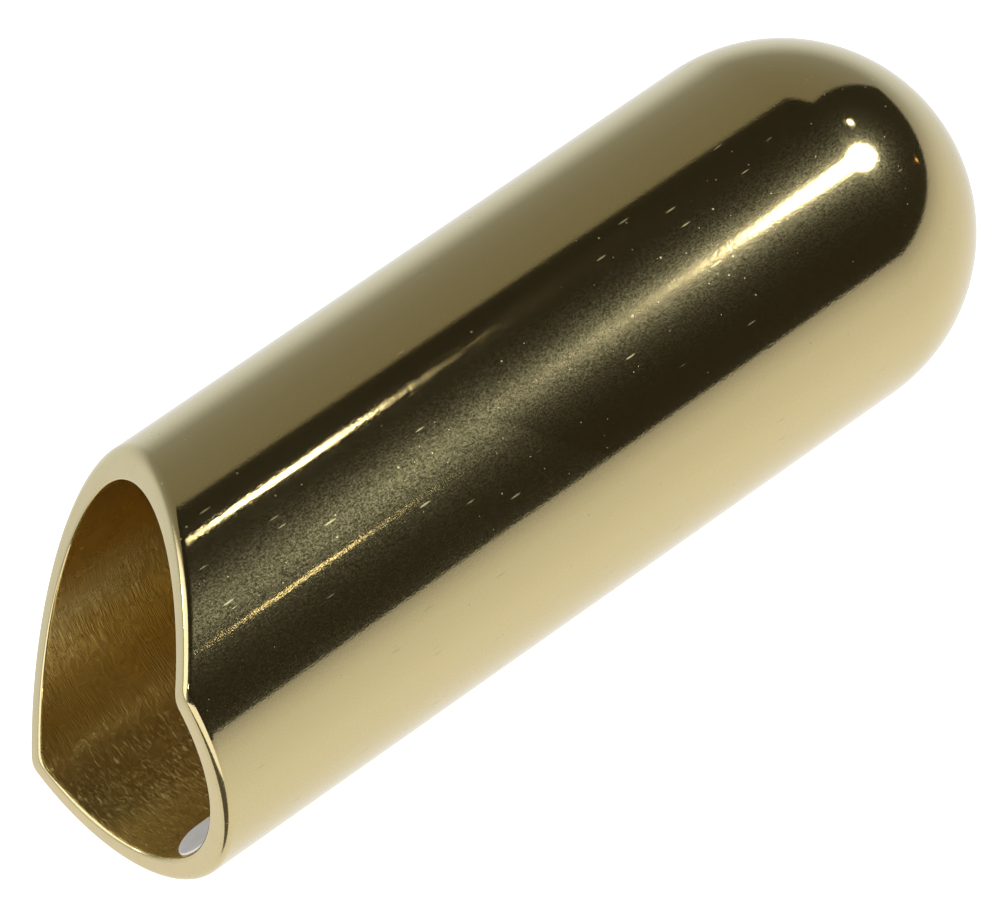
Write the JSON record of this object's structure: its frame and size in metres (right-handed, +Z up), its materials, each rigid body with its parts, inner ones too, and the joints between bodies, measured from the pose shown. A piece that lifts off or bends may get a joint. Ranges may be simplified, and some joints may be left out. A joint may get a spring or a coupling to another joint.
{
  "type": "guitar slide",
  "caption": "Closed-end brass finger slide: a straight polished tube with a half-ball end and a mouth cut square on one side and slanted back on the other.",
  "frame": {"origin": "centre of the mouth's square end plane, on the axis of the finger bore", "axes": "+X along the bore axis from the mouth to the half-ball end; +Z up as the slide comes to rest on a table, 11.1 mm below the axis: the uncut side is the heavier, so the slanted cut faces +Z, and the XZ plane is the mirror plane"},
  "size_m": [0.0635, 0.0222, 0.0222],
  "materials": {
    "polished_brass": "mirror polished outside, fine bored finish inside",
    "label_grey": "satin pale grey, blank"
  },
  "bodies": {
    "root": {"slide_body": "polished_brass", "stick_on_label": "label_grey"}
  },
  "joints": []
}
